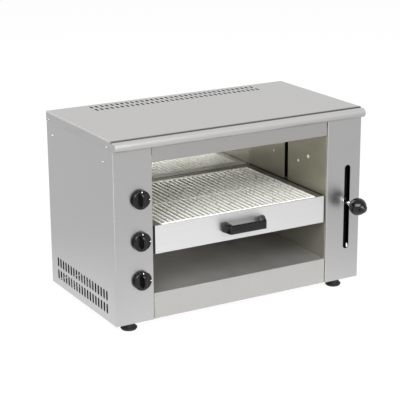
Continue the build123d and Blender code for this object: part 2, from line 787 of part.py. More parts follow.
# ---------------------------------------------------------------- grid
with BuildPart() as wire_grid:
    first_rod = -rod_pitch * (rod_count - 1) / 2
    frame_radius = rod_radius + 0.4
    for index in range(rod_count):
        bar_y(first_rod + index * rod_pitch, (grid_front, grid_back), rod_z, rod_radius)
    for cross_y in (grid_front, grid_back):
        bar_x((first_rod - 2.2, -first_rod + 2.2), cross_y, rod_z, frame_radius)
    bar_x((-238, 238), (grid_front + grid_back) / 2, rod_z - 5.3, 3)
wire_grid.part.label = "wire_grid"
export_step(wire_grid.part, "parts/wire_grid.step")

# ---------------------------------------------------------------- controls
bracket_y = 30.0
bracket_x = (-372.0, -294.0)
with BuildPart() as control_bracket:
    block(bracket_x, (bracket_y, bracket_y + sheet), (80, 395))
    for leg_low, flange_low in ((80, 65), (395 - sheet, 395 - sheet)):
        block(bracket_x, (sheet, bracket_y + sheet), (leg_low, leg_low + sheet))
        block(bracket_x, (sheet, 2 * sheet), (flange_low, flange_low + 15 + sheet))
    for knob_z in knob_heights.values():
        bar_y(knob_x, (bracket_y - 1, bracket_y + 4), knob_z, 5 + seated, mode=Mode.SUBTRACT)
control_bracket.part.label = "control_bracket"
export_step(control_bracket.part, "parts/control_bracket.step")

control_names = {"upper": "left_zone_control", "middle": "right_zone_control", "lower": "timer_switch"}
control_depths = {"upper": 34.0, "middle": 34.0, "lower": 46.0}
for level_name, control_name in control_names.items():
    with BuildPart() as control:
        control_z = knob_heights[level_name]
        control_back = bracket_y + sheet + control_depths[level_name]
        block(
            (knob_x - 22, knob_x + 22), (bracket_y + sheet, control_back), (control_z - 22, control_z + 22)
        )
        fillet(control.edges().filter_by(Axis.Y), 3)
        bar_y(knob_x, (12, bracket_y + sheet), control_z, 5)
        for tab_x in (-12, -4, 4, 12):
            block(
                (knob_x + tab_x - 0.4, knob_x + tab_x + 0.4),
                (control_back, control_back + 10),
                (control_z - 12, control_z - 6),
            )
        bar_y(knob_x, (10, 29), control_z, spindle_radius + running, mode=Mode.SUBTRACT)
    control.part.label = control_name
    export_step(control.part, f"parts/{control_name}.step")

grip_length = 47.0
grip_width = 15.0
skirt_back = -8.0
skirt_front = -13.0
hub_back = -5.0
grip_front = -30.0
for level_name, knob_z in knob_heights.items():
    knob_name = f"{level_name}_knob"
    with BuildPart() as knob:
        bar_y(knob_x, (skirt_front, skirt_back), knob_z, knob_radius)
        fillet(knob.edges().sort_by(Axis.Y)[0], 2.0)
        bar_y(knob_x, (skirt_back - 1, hub_back), knob_z, 9)
        with BuildSketch(front(skirt_front + 1)):
            with Locations((knob_x, knob_z)):
                SlotOverall(grip_length, grip_width, rotation=90)
        extrude(amount=skirt_front + 1 - grip_front, taper=4)
        bar_y(knob_x, (-25, hub_back + 1), knob_z, spindle_radius + seated, mode=Mode.SUBTRACT)
    knob.part.label = knob_name
    export_step(knob.part, f"parts/{knob_name}.step")

    spindle_name = f"{level_name}_spindle"
    with BuildPart() as spindle:
        bar_y(knob_x, (-24.5, 28), knob_z, spindle_radius)
    spindle.part.label = spindle_name
    export_step(spindle.part, f"parts/{spindle_name}.step")

# ---------------------------------------------------------------- supply side
with BuildPart() as terminal_block:
    block((-372, -308), (330, 352), (sheet, 24))
    for way in range(5):
        way_x = -364 + way * 12
        block((way_x - 4, way_x + 4), (328, 354), (12, 20), mode=Mode.SUBTRACT)
        bar_z(way_x, 341, (16, 26), 2.6, mode=Mode.SUBTRACT)
terminal_block.part.label = "terminal_block"
export_step(terminal_block.part, "parts/terminal_block.step")

with BuildPart() as cable_gland:
    bar_y(gland_x, (412, body_depth - sheet), gland_z, 8)
    with BuildSketch(front(body_depth - sheet)):
        with Locations((gland_x, gland_z)):
            RegularPolygon(12.5, 6)
    extrude(amount=-9)
    bar_y(gland_x, (body_depth + 7.5, body_depth + gland_reach), gland_z, 10.5)
    fillet(cable_gland.edges().sort_by(Axis.Y)[-1], 3)
    bar_y(gland_x, (400, body_depth + gland_reach + 1), gland_z, gland_bore, mode=Mode.SUBTRACT)
cable_gland.part.label = "cable_gland"
export_step(cable_gland.part, "parts/cable_gland.step")

with BuildPart() as gland_nut:
    with BuildSketch(front(rear_panel_front)):
        with Locations((gland_x, gland_z)):
            RegularPolygon(12.5, 6)
            Circle(8 + seated, mode=Mode.SUBTRACT)
    extrude(amount=5)
gland_nut.part.label = "gland_nut"
export_step(gland_nut.part, "parts/gland_nut.step")

with BuildPart() as bonding_stud:
    bar_y(bond_x, (412, body_depth + 14), gland_z, 3)
    with BuildSketch(front(body_depth - sheet)):
        with Locations((bond_x, gland_z)):
            RegularPolygon(5.8, 6)
    extrude(amount=-5)
    with BuildSketch(front(rear_panel_front)):
        with Locations((bond_x, gland_z)):
            RegularPolygon(5.8, 6)
    extrude(amount=5)
bonding_stud.part.label = "bonding_stud"
export_step(bonding_stud.part, "parts/bonding_stud.step")
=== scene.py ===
import math

import bmesh
import bpy
from mathutils import Matrix, Vector


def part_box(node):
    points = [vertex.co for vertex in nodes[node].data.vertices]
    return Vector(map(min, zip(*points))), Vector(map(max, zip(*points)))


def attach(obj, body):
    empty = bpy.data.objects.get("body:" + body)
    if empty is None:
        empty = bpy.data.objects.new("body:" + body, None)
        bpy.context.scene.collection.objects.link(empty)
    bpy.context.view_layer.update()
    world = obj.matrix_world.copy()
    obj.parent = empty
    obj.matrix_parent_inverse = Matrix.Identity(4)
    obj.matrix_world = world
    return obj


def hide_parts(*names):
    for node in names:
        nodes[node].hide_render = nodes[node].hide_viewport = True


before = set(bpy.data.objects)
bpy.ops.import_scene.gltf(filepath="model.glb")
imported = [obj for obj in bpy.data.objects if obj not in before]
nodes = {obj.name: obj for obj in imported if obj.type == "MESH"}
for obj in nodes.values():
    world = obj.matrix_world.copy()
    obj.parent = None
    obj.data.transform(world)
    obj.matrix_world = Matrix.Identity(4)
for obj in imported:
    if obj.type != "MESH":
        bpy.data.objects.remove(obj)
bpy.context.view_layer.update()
mm = 0.001
plainWhite = (1, 1, 1, 1)
filmWidth = 36  # millimetres
farAway = 1  # metres, past every face of the object

# the fascia's plane, the panels' lower edge and the body's sides, read from the frame
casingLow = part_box("left_casing")[0]
fasciaY = casingLow.y
panelZ = casingLow.z
halfWidth = -casingLow.x
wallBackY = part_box("cavity_back_wall")[1].y


def place(x, y, z):
    # millimetres from the middle, back from the fascia, up from the panels' lower edge
    return Vector((x * mm, fasciaY + y * mm, panelZ + z * mm))


cameraValues = {
    "azimuth": -29.646,  # degrees, from the front towards the left side
    "elevation": 16.804,
    "roll": -0.367,
    "lens": 121.17,
    "place": (-1877.3, -3056.7, 1381.4),
}


def makeCamera(values):
    a = math.radians(values["azimuth"])
    e = math.radians(values["elevation"])
    r = math.radians(values["roll"])
    back = Vector((math.sin(a) * math.cos(e), -math.cos(a) * math.cos(e), math.sin(e)))
    right = Vector((0, 0, 1)).cross(back).normalized()
    up = back.cross(right)
    across = right * math.cos(r) + up * math.sin(r)
    upright = up * math.cos(r) - right * math.sin(r)
    cameraData = bpy.data.cameras.new("camera")
    cameraData.lens = values["lens"]
    cameraData.sensor_width = filmWidth
    cameraData.clip_end = 60
    camera = bpy.data.objects.new("camera", cameraData)
    turn = Matrix((across, upright, back)).transposed().to_4x4()
    camera.matrix_world = Matrix.Translation(place(*values["place"])) @ turn
    bpy.context.scene.collection.objects.link(camera)
    bpy.context.scene.camera = camera


def toLinear(hexText):
    # sRGB hex to the linear colour that the shaders take
    channels = [int(hexText[i:i + 2], 16) / 255 for i in (1, 3, 5)]
    linear = [c / 12.92 if c <= 0.04045 else ((c + 0.055) / 1.055) ** 2.4 for c in channels]
    return (*linear, 1.0)


def addNode(tree, kind, settings=None, inputs=None):
    node = tree.nodes.new(kind)
    for name, value in (settings or {}).items():
        setattr(node, name, value)
    for name, value in (inputs or {}).items():
        if isinstance(value, bpy.types.NodeSocket):
            tree.links.new(value, node.inputs[name])
        else:
            node.inputs[name].default_value = value
    return node


def ramp(tree, value, low, high, fromLow=0.3, fromHigh=0.7):
    node = addNode(
        tree, "ShaderNodeMapRange", {"clamp": True},
        {"Value": value, "From Min": fromLow, "From Max": fromHigh, "To Min": low, "To Max": high},
    )
    return node.outputs[0]


def seenDirectly(tree):
    # camera rays, and the rays that shiny or clear surfaces send on
    path = addNode(tree, "ShaderNodeLightPath")
    shiny = addNode(
        tree, "ShaderNodeMath", {"operation": "MAXIMUM"},
        {0: path.outputs["Is Glossy Ray"], 1: path.outputs["Is Transmission Ray"]},
    )
    return path.outputs["Is Camera Ray"], shiny.outputs[0]


lightValues = {
    "worldFill": 0.55,
    "worldShine": 0.86,  # the bright walls of the studio, as shiny surfaces meet them
    "worldDark": 0.75,  # its dark ceiling
    "ceiling": (0.4, 0.75),  # rise of a ray at which the ceiling starts, and is at its darkest
    "floorHalf": 14,  # metres
    "floorColor": "#f4f4f2",
    "floorNear": 1.2,
    "floorFar": 0.85,
    "floorFade": (0.4, 0.95),  # metres from the middle, between near and far
    "floorWhite": 1.05,
    "floorGlow": 0.86,  # share of plain white in the floor that the camera sees; the rest takes the shadow
    "poolPlace": (-1.3, -1.2),  # metres, a brighter pool on the floor, ahead and to the left
    "poolRadius": 0.8,
    "poolShine": 3.0,
}
lampValues = {  # metres and watts; a lamp that isn't shown doesn't appear in shiny surfaces
    "key": {"place": (-1.6, -2.6, 2.4), "aim": (0, 0, 0.3), "size": (5.0, 2.2), "power": 250, "shown": True},
    "fill": {"place": (1.9, -2.8, 1.1), "aim": (0, 0, 0.3), "size": (2.4, 1.2), "power": 110, "shown": False},
    "back": {"place": (-1.3, 3.0, 2.3), "aim": (0, 0, 0.4), "size": (1.6, 1.6), "power": 18, "shown": True},
}


def makeWorld(values):
    world = bpy.data.worlds.new("studio")
    world.use_nodes = True
    bpy.context.scene.world = world
    tree = world.node_tree
    tree.nodes.clear()
    camera, shiny = seenDirectly(tree)
    fill = addNode(tree, "ShaderNodeBackground", None, {"Color": plainWhite, "Strength": values["worldFill"]})
    coords = addNode(tree, "ShaderNodeTexCoord")
    ray = addNode(tree, "ShaderNodeSeparateXYZ", None, {0: coords.outputs["Generated"]})
    level = ramp(tree, ray.outputs["Z"], values["worldShine"], values["worldDark"], *values["ceiling"])
    shine = addNode(tree, "ShaderNodeBackground", None, {"Color": plainWhite, "Strength": level})
    white = addNode(tree, "ShaderNodeBackground", None, {"Color": plainWhite, "Strength": 1.0})
    first = addNode(tree, "ShaderNodeMixShader", None, {0: shiny, 1: fill.outputs[0], 2: shine.outputs[0]})
    second = addNode(tree, "ShaderNodeMixShader", None, {0: camera, 1: first.outputs[0], 2: white.outputs[0]})
    addNode(tree, "ShaderNodeOutputWorld", None, {"Surface": second.outputs[0]})


def makeFloor(values):
    floorMesh = bpy.data.meshes.new("floor")
    shape = bmesh.new()
    bmesh.ops.create_grid(shape, x_segments=8, y_segments=8, size=values["floorHalf"])
    shape.to_mesh(floorMesh)
    shape.free()
    floor = bpy.data.objects.new("floor", floorMesh)
    bpy.context.scene.collection.objects.link(floor)
    material = bpy.data.materials.new("paintedCove")
    material.use_nodes = True
    tree = material.node_tree
    tree.nodes.clear()
    camera, shiny = seenDirectly(tree)
    coords = addNode(tree, "ShaderNodeTexCoord")
    distance = addNode(tree, "ShaderNodeVectorMath", {"operation": "LENGTH"}, {0: coords.outputs["Object"]})
    near, far = values["floorNear"], values["floorFar"]
    fade = ramp(tree, distance.outputs["Value"], near, far, *values["floorFade"])
    away = addNode(
        tree, "ShaderNodeVectorMath", {"operation": "DISTANCE"},
        {0: coords.outputs["Object"], 1: (*values["poolPlace"], 0)},
    )
    pool = ramp(tree, away.outputs["Value"], values["poolShine"] - far, 0, 0, values["poolRadius"])
    bright = addNode(tree, "ShaderNodeMath", {"operation": "ADD"}, {0: fade, 1: pool})
    matt = addNode(tree, "ShaderNodeBsdfDiffuse", None, {"Color": toLinear(values["floorColor"])})
    shine = addNode(tree, "ShaderNodeEmission", None, {"Color": plainWhite, "Strength": bright.outputs[0]})
    white = addNode(tree, "ShaderNodeEmission", None, {"Color": plainWhite, "Strength": values["floorWhite"]})
    shade = addNode(
        tree, "ShaderNodeMixShader", None, {0: values["floorGlow"], 1: matt.outputs[0], 2: white.outputs[0]}
    )
    first = addNode(tree, "ShaderNodeMixShader", None, {0: shiny, 1: matt.outputs[0], 2: shine.outputs[0]})
    second = addNode(tree, "ShaderNodeMixShader", None, {0: camera, 1: first.outputs[0], 2: shade.outputs[0]})
    addNode(tree, "ShaderNodeOutputMaterial", None, {"Surface": second.outputs[0]})
    floorMesh.materials.append(material)


def makeLamp(name, values):
    lampData = bpy.data.lights.new(name, "AREA")
    lampData.shape = "RECTANGLE"
    lampData.size, lampData.size_y = values["size"]
    lampData.energy = values["power"]
    lamp = bpy.data.objects.new(name, lampData)
    lamp.location = values["place"]
    lamp.visible_glossy = values["shown"]
    way = Vector(values["aim"]) - Vector(values["place"])
    lamp.rotation_euler = way.to_track_quat("-Z", "Y").to_euler()
    bpy.context.scene.collection.objects.link(lamp)


makeCamera(cameraValues)
makeWorld(lightValues)
makeFloor(lightValues)
for name, values in lampValues.items():
    makeLamp(f"{name}Lamp", values)
bpy.context.scene.view_settings.view_transform = "Standard"
print("camera, floor and light are set")


def startMaterial(name):
    material = bpy.data.materials.new(name)
    material.use_nodes = True
    tree = material.node_tree
    shader = tree.nodes["Principled BSDF"]
    coords = addNode(tree, "ShaderNodeTexCoord")
    return material, tree, shader, coords.outputs["Object"]


def stretchedNoise(tree, vector, spacing, detail=2.0):
    # noise whose features are as wide as spacing says along X, Y and Z, in millimetres
    scale = tuple(1 / (s * mm) for s in spacing)
    mapped = addNode(tree, "ShaderNodeMapping", None, {"Vector": vector, "Scale": scale})
    noise = addNode(
        tree, "ShaderNodeTexNoise", None,
        {"Vector": mapped.outputs[0], "Scale": 1.0, "Detail": detail, "Roughness": 0.55},
    )
    return noise.outputs["Fac"]


def blendColors(tree, factor, first, second):
    node = addNode(
        tree, "ShaderNodeMix", {"data_type": "RGBA"},
        {0: factor, 6: toLinear(first) if isinstance(first, str) else first,
         7: toLinear(second) if isinstance(second, str) else second},
    )
    return node.outputs[2]


brushedValues = {
    "grainMm": 1.3,  # real lines are about 0.1 mm apart; drawn coarse enough to show
    "grainLengthMm": 160,
    "hairRatio": 2.7,  # a second set of lines is this much coarser
    "hairShare": 0.5,
    "cloudMm": 170,
    "anisotropy": 0.55,
    "edgeMm": 1.5,  # folded edges are this round
    "cornerMm": 4,  # how far in from the sides the rounding reaches
    "capMm": 505,  # height at which the cover's folds begin
    "frontMm": 3,  # depth of the fold along the front corners
}


def brushedSteel(name, light, dark, rough, grainAxis="side", tangentAxis="Z", turn=0.25, tint=None,
                 metallic=1.0, bump=0.008, rounded=False):
    # stainless sheet, belt-brushed: fine parallel lines that smear reflections across the grain
    values = brushedValues
    material, tree, shader, vector = startMaterial(name)
    fine, long = values["grainMm"], values["grainLengthMm"]
    spacing = {"side": (long, long, fine), "across": (long, fine, fine)}[grainAxis]
    lines = stretchedNoise(tree, vector, spacing, 3.0)
    hair = stretchedNoise(tree, vector, tuple(s * values["hairRatio"] for s in spacing), 1.0)
    cloud = stretchedNoise(tree, vector, (values["cloudMm"],) * 3, 1.0)
    mixed = addNode(
        tree, "ShaderNodeMath", {"operation": "MULTIPLY_ADD"}, {0: hair, 1: values["hairShare"], 2: lines}
    )
    tone = ramp(tree, mixed.outputs[0], 0.0, 1.0, 0.2, 1.3)
    color = blendColors(tree, tone, dark, light)
    cloudTone = ramp(tree, cloud, 0.0, 0.5)
    color = blendColors(tree, cloudTone, color, light)
    if tint:
        color = tint(tree, vector, color)
    tree.links.new(color, shader.inputs["Base Color"])
    tree.links.new(ramp(tree, lines, rough - 0.004, rough + 0.006), shader.inputs["Roughness"])
    shader.inputs["Metallic"].default_value = metallic
    shader.inputs["Anisotropic"].default_value = values["anisotropy"]
    shader.inputs["Anisotropic Rotation"].default_value = turn
    tangent = addNode(tree, "ShaderNodeTangent", {"direction_type": "RADIAL", "axis": tangentAxis})
    tree.links.new(tangent.outputs[0], shader.inputs["Tangent"])
    bumpNode = addNode(
        tree, "ShaderNodeBump", None, {"Strength": bump, "Distance": 0.0002, "Height": mixed.outputs[0]}
    )
    if rounded:
        tree.links.new(roundedEdges(tree, vector, values), bumpNode.inputs["Normal"])
    tree.links.new(bumpNode.outputs[0], shader.inputs["Normal"])
    return material


def roundedEdges(tree, vector, values):
    # folds along the body's front corners and top edges are rounded; punched slots stay sharp
    parts = addNode(tree, "ShaderNodeSeparateXYZ", None, {0: vector})
    inner = halfWidth - values["cornerMm"] * mm
    middle = within(tree, parts.outputs["X"], -inner, inner)
    low = within(tree, parts.outputs["Z"], -farAway, panelZ + values["capMm"] * mm)
    behind = within(tree, parts.outputs["Y"], fasciaY + values["frontMm"] * mm, farAway)
    level = addNode(tree, "ShaderNodeMath", {"operation": "COMPARE"}, {0: low, 1: behind, 2: 0.5})
    plain = addNode(tree, "ShaderNodeMath", {"operation": "MAXIMUM"}, {0: middle, 1: level.outputs[0]})
    edges = addNode(tree, "ShaderNodeBevel", {"samples": 8}, {"Radius": values["edgeMm"] * mm})
    flat = addNode(tree, "ShaderNodeNewGeometry")
    mixed = addNode(
        tree, "ShaderNodeMix", {"data_type": "VECTOR"},
        {0: plain.outputs[0], 4: edges.outputs[0], 5: flat.outputs["Normal"]},
    )
    return mixed.outputs[1]


def product(tree, first, second):
    return addNode(tree, "ShaderNodeMath", {"operation": "MULTIPLY"}, {0: first, 1: second}).outputs[0]


def within(tree, value, low, high):
    # 1 between two limits, 0 outside them
    above = addNode(tree, "ShaderNodeMath", {"operation": "GREATER_THAN"}, {0: value, 1: low})
    below = addNode(tree, "ShaderNodeMath", {"operation": "LESS_THAN"}, {0: value, 1: high})
    return product(tree, above.outputs[0], below.outputs[0])


tintValues = {  # lengths in millimetres: depths are from the fascia, heights from the panels' lower edge
    # painted shade: flat tone of the outer side faces, set for how light falls on them
    "side": "#b9b8b9",
    # painted shade: the dark of faces inside the body and of the punched slots' walls
    "inner": "#2c2b2a",
    "skin": 0.3,
    "casingDepth": (5, 424.6),
    "nose": -1.6,
    # painted highlight on the nose, lightest at the top and painted shade towards its lower edge
    "noseShadedLow": "#b4b3b2",
    "noseLitHigh": "#dddcdb",
    "noseHeight": (493, 509),
    # painted shade in the line where the flat top steps down to the nose
    "creaseShade": "#6d6c6b",
    "creaseShadeDepth": (1.6, 15),
    "creaseShadeFade": (5, 14),
    "creaseShadeHeight": (511, 517),
    "slotDepth": (340, 415),
    "slotTop": 515.8,
    "straw": "#eeead8",
    "strawHeight": (100, 440),
    "wornDark": "#b5b3b0",
    "wornLight": "#c2c0bd",
    "wornDepth": (4, 12),
    # painted shade for the closed space behind the cavity
    "enclosedShade": "#232221",
    "rearInside": 424.2,
}


def splitVector(tree, vector):
    parts = addNode(tree, "ShaderNodeSeparateXYZ", None, {0: vector})
    return parts.outputs["X"], parts.outputs["Y"], parts.outputs["Z"]


def depths(name):
    return [fasciaY + depth * mm for depth in tintValues[name]]


def heights(name):
    return [panelZ + height * mm for height in tintValues[name]]


def casingShade(tree, vector, color):
    # painted shade: the outer sides take a flat tone of their own, set for how light falls on them, and the
    # inner faces inside the body are painted dark
    x, y = splitVector(tree, vector)[:2]
    inner = halfWidth - tintValues["skin"] * mm
    across = within(tree, x, -inner, inner)
    inside = product(tree, across, within(tree, y, *depths("casingDepth")))
    outer = blendColors(tree, across, tintValues["side"], color)
    return blendColors(tree, inside, outer, tintValues["inner"])


def coverLightAndShade(tree, vector, color):
    # painted light and shade: a painted highlight on the nose that shades darker towards its lower edge,
    # painted shade in the line where the flat top steps down to it, on the skirts as on the body's sides, and
    # on the punched slots' inner faces
    x, y, z = splitVector(tree, vector)
    soft = ramp(tree, y, 1.0, 0.0, *depths("creaseShadeFade"))
    step = product(tree, within(tree, y, *depths("creaseShadeDepth")), within(tree, z, *heights("creaseShadeHeight")))
    creaseShade = product(tree, step, soft)
    nose = within(tree, y, -farAway, fasciaY + tintValues["nose"] * mm)
    height = ramp(tree, z, 0.0, 1.0, *heights("noseHeight"))
    noseColor = blendColors(tree, height, tintValues["noseShadedLow"], tintValues["noseLitHigh"])
    noseLit = blendColors(tree, nose, color, noseColor)
    creaseShaded = blendColors(tree, creaseShade, noseLit, tintValues["creaseShade"])
    inner = halfWidth - tintValues["skin"] * mm
    middle = within(tree, x, -inner, inner)
    low = within(tree, z, -farAway, heights("creaseShadeHeight")[0])
    # painted shade: the skirts below the top take the sides' flat tone
    skirt = addNode(tree, "ShaderNodeMath", {"operation": "SUBTRACT", "use_clamp": True}, {0: low, 1: middle})
    edged = blendColors(tree, skirt.outputs[0], creaseShaded, tintValues["side"])
    # painted shade: the punched slots' inner faces are painted dark
    under = within(tree, z, -farAway, panelZ + tintValues["slotTop"] * mm)
    cut = product(tree, within(tree, y, *depths("slotDepth")), under)
    return blendColors(tree, product(tree, cut, middle), edged, tintValues["inner"])


def heatTint(tree, vector, color):
    # straw and olive bloom on the cavity sheet where the elements heat it most
    z = splitVector(tree, vector)[2]
    height = ramp(tree, z, 0.15, 1.0, *heights("strawHeight"))
    bloom = stretchedNoise(tree, vector, (120, 120, 90), 3.0)
    patch = ramp(tree, bloom, 0.35, 1.0, 0.35, 0.65)
    tinted = addNode(
        tree, "ShaderNodeMix", {"data_type": "RGBA", "blend_type": "MULTIPLY"},
        {0: product(tree, height, patch), 6: color, 7: toLinear(tintValues["straw"])},
    )
    return tinted.outputs[2]


def floorTint(tree, vector, color):
    # the part of the folded sheet that is the cavity's floor is a shade warmer, in patches, from use
    y = splitVector(tree, vector)[1]
    inside = ramp(tree, y, 0.0, 1.0, *depths("wornDepth"))
    bloom = stretchedNoise(tree, vector, (90, 140, 90), 3.0)
    worn = blendColors(tree, ramp(tree, bloom, 0.0, 1.0), tintValues["wornDark"], tintValues["wornLight"])
    return blendColors(tree, inside, color, worn)


def behindShade(tree, vector, color):
    # faces turned to the space behind the cavity, and inside the rear panel, are painted dark: painted shade
    y = splitVector(tree, vector)[1]
    hidden = within(tree, y, wallBackY - 0.5 * mm, fasciaY + tintValues["rearInside"] * mm)
    return blendColors(tree, hidden, color, tintValues["enclosedShade"])


mouldedValues = {
    "dustMm": 9,
    "dust": "#0c0c0d",
    "dustFrom": (0.4, 0.75),
    "haze": 0.06,
    "specular": 0.4,
    "peelMm": 1.6,
    "peel": 0.06,
}


def glossPlastic(name, color, rough, edgeRadius=0.0):
    # phenolic moulding: deep black with a polished skin, faint orange peel and rubbed dust
    values = mouldedValues
    material, tree, shader, vector = startMaterial(name)
    dust = stretchedNoise(tree, vector, (values["dustMm"],) * 3, 4.0)
    dusty = ramp(tree, dust, 0.0, 1.0, *values["dustFrom"])
    tree.links.new(blendColors(tree, dusty, color, values["dust"]), shader.inputs["Base Color"])
    tree.links.new(ramp(tree, dust, rough, rough + values["haze"]), shader.inputs["Roughness"])
    shader.inputs["Specular IOR Level"].default_value = values["specular"]
    peel = stretchedNoise(tree, vector, (values["peelMm"],) * 3, 1.0)
    bumpNode = addNode(
        tree, "ShaderNodeBump", None, {"Strength": values["peel"], "Distance": 0.0003, "Height": peel}
    )
    if edgeRadius:
        edges = addNode(tree, "ShaderNodeBevel", {"samples": 8}, {"Radius": edgeRadius * mm})
        tree.links.new(edges.outputs[0], bumpNode.inputs["Normal"])
    tree.links.new(bumpNode.outputs[0], shader.inputs["Normal"])
    return material


def mattSurface(name, dark, light, rough, grain, bump=0.2, metallic=0.0):
    # cast, sprayed or moulded matt skin: speckle at the given grain size
    material, tree, shader, vector = startMaterial(name)
    speckle = stretchedNoise(tree, vector, (grain,) * 3, 4.0)
    tree.links.new(blendColors(tree, ramp(tree, speckle, 0.0, 1.0), dark, light), shader.inputs["Base Color"])
    tree.links.new(ramp(tree, speckle, rough - 0.06, rough + 0.06), shader.inputs["Roughness"])
    shader.inputs["Metallic"].default_value = metallic
    bumpNode = addNode(
        tree, "ShaderNodeBump", None, {"Strength": bump, "Distance": 0.0004, "Height": speckle}
    )
    tree.links.new(bumpNode.outputs[0], shader.inputs["Normal"])
    return material


def polishedMetal(name, light, dark, rough, grain, metallic=1.0, tint=None):
    # plated or buffed metal: near mirror, with faint haze and handling marks
    material, tree, shader, vector = startMaterial(name)
    haze = stretchedNoise(tree, vector, (grain,) * 3, 4.0)
    color = blendColors(tree, ramp(tree, haze, 0.0, 1.0), dark, light)
    if tint:
        color = tint(tree, vector, color)
    tree.links.new(color, shader.inputs["Base Color"])
    tree.links.new(ramp(tree, haze, rough, rough * 1.6), shader.inputs["Roughness"])
    shader.inputs["Metallic"].default_value = metallic
    return material


def galvanisedSteel(name):
    # hot-dip zinc: flat crystals a centimetre across, each a slightly different grey
    material, tree, shader, vector = startMaterial(name)
    spangle = addNode(tree, "ShaderNodeTexVoronoi", None, {"Vector": vector, "Scale": 1 / (11 * mm)})
    crystal = addNode(tree, "ShaderNodeSeparateColor", None, {0: spangle.outputs["Color"]})
    tone = crystal.outputs[0]
    tree.links.new(blendColors(tree, tone, "#8d9194", "#adb1b3"), shader.inputs["Base Color"])
    tree.links.new(ramp(tree, tone, 0.32, 0.5, 0.0, 1.0), shader.inputs["Roughness"])
    shader.inputs["Metallic"].default_value = 0.9
    return material


materials = {
    # belt-brushed sheet: soft pale grey, with reflections drawn out across its lines
    "panel": brushedSteel("brushedStainlessPanel", "#bcbbbb", "#b6b5b5", 0.3, tint=casingShade, rounded=True),
    "rear": brushedSteel("brushedStainlessRear", "#c2c1c0", "#bcbbba", 0.3, tint=behindShade),
    # the valance's copy is darker, for the shadow that the nose's overhang casts on it: painted shade
    "valance": brushedSteel("brushedStainlessValance", "#b3b2b0", "#afaeac", 0.28),
    "cover": brushedSteel(
        "brushedStainlessCover", "#cfcecd", "#cac9c8", 0.34, "across", "X", 0.0, coverLightAndShade, rounded=True
    ),
    # satin sheet: smoother and nearly white beside the rest
    "tray": brushedSteel("satinStainlessTray", "#e4e4e4", "#dfdfdf", 0.38),
    # sheet that heat, fat and wiping have warmed and dulled
    "pan": brushedSteel("usedPanStainless", "#8d8a80", "#7c796f", 0.42, "across", metallic=0.8),
    "cavity": brushedSteel(
        "heatTintedStainless", "#a8a69b", "#a19f93", 0.28, tint=heatTint, metallic=0.72, bump=0
    ),
    "floorPan": brushedSteel(
        "foldedFloorStainless", "#a3a2a0", "#9f9e9c", 0.3, "across", tint=floorTint, metallic=0.75, bump=0
    ),
    # buffed sheet, in which the grid is seen again
    "mirror": polishedMetal("mirrorStainless", "#fafaf7", "#f2f2ee", 0.06, 60, 0.78, behindShade),
    # platings: small hard highlights, softer on the black oxide and the zinc
    "chrome": polishedMetal("chromePlate", "#e8e8ea", "#d8d8da", 0.06, 12),
    "blackened": polishedMetal("blackenedSteel", "#1c1b1a", "#121211", 0.3, 8),
    "wire": polishedMetal("electropolishedWire", "#fbfbf6", "#f3f2eb", 0.24, 14, 0.4),
    "zinc": polishedMetal("zincPlate", "#c9cac9", "#b4b5b5", 0.22, 4),
    "brightBolt": polishedMetal("brightZincBolt", "#fcfcfa", "#ececea", 0.25, 4, 0.4),
    "brass": polishedMetal("turnedBrass", "#d8b46c", "#c09a52", 0.2, 4),
    # sheet that stays inside, with its crystals showing
    "galvanised": galvanisedSteel("galvanisedSteel"),
    # moulded grips: wet-looking black; the pull's edges catch the light
    "phenolic": glossPlastic("blackPhenolic", "#050506", 0.08),
    "moulding": glossPlastic("blackPhenolicPull", "#050506", 0.08, 2.6),
    # sprayed, moulded, fired and cast skins without a shine
    "enamel": mattSurface("blackStoveEnamel", "#050505", "#0c0c0c", 0.5, 2.0, 0.1),
    "nylon": mattSurface("blackNylon", "#101113", "#191a1c", 0.5, 1.0, 0.15),
    "rubber": mattSurface("blackRubber", "#070707", "#0e0e0e", 0.6, 1.5, 0.25),
    "steatite": mattSurface("steatite", "#d4cfc2", "#e6e2d8", 0.6, 1.0, 0.1),
    "wool": mattSurface("blackFacedWool", "#151514", "#232321", 0.95, 3.0, 0.9),
    "sheath": mattSurface("oxidisedSheath", "#2e2d2a", "#4a4842", 0.55, 3.0, 0.15, 0.7),
    "aluminium": mattSurface("castAluminium", "#8f9194", "#a8aaac", 0.5, 1.6, 0.25, 0.9),
    "pointer": mattSurface("whitePointerPaint", "#dcdcd8", "#eeeeea", 0.45, 1.0, 0.05),
}
print("materials are made")

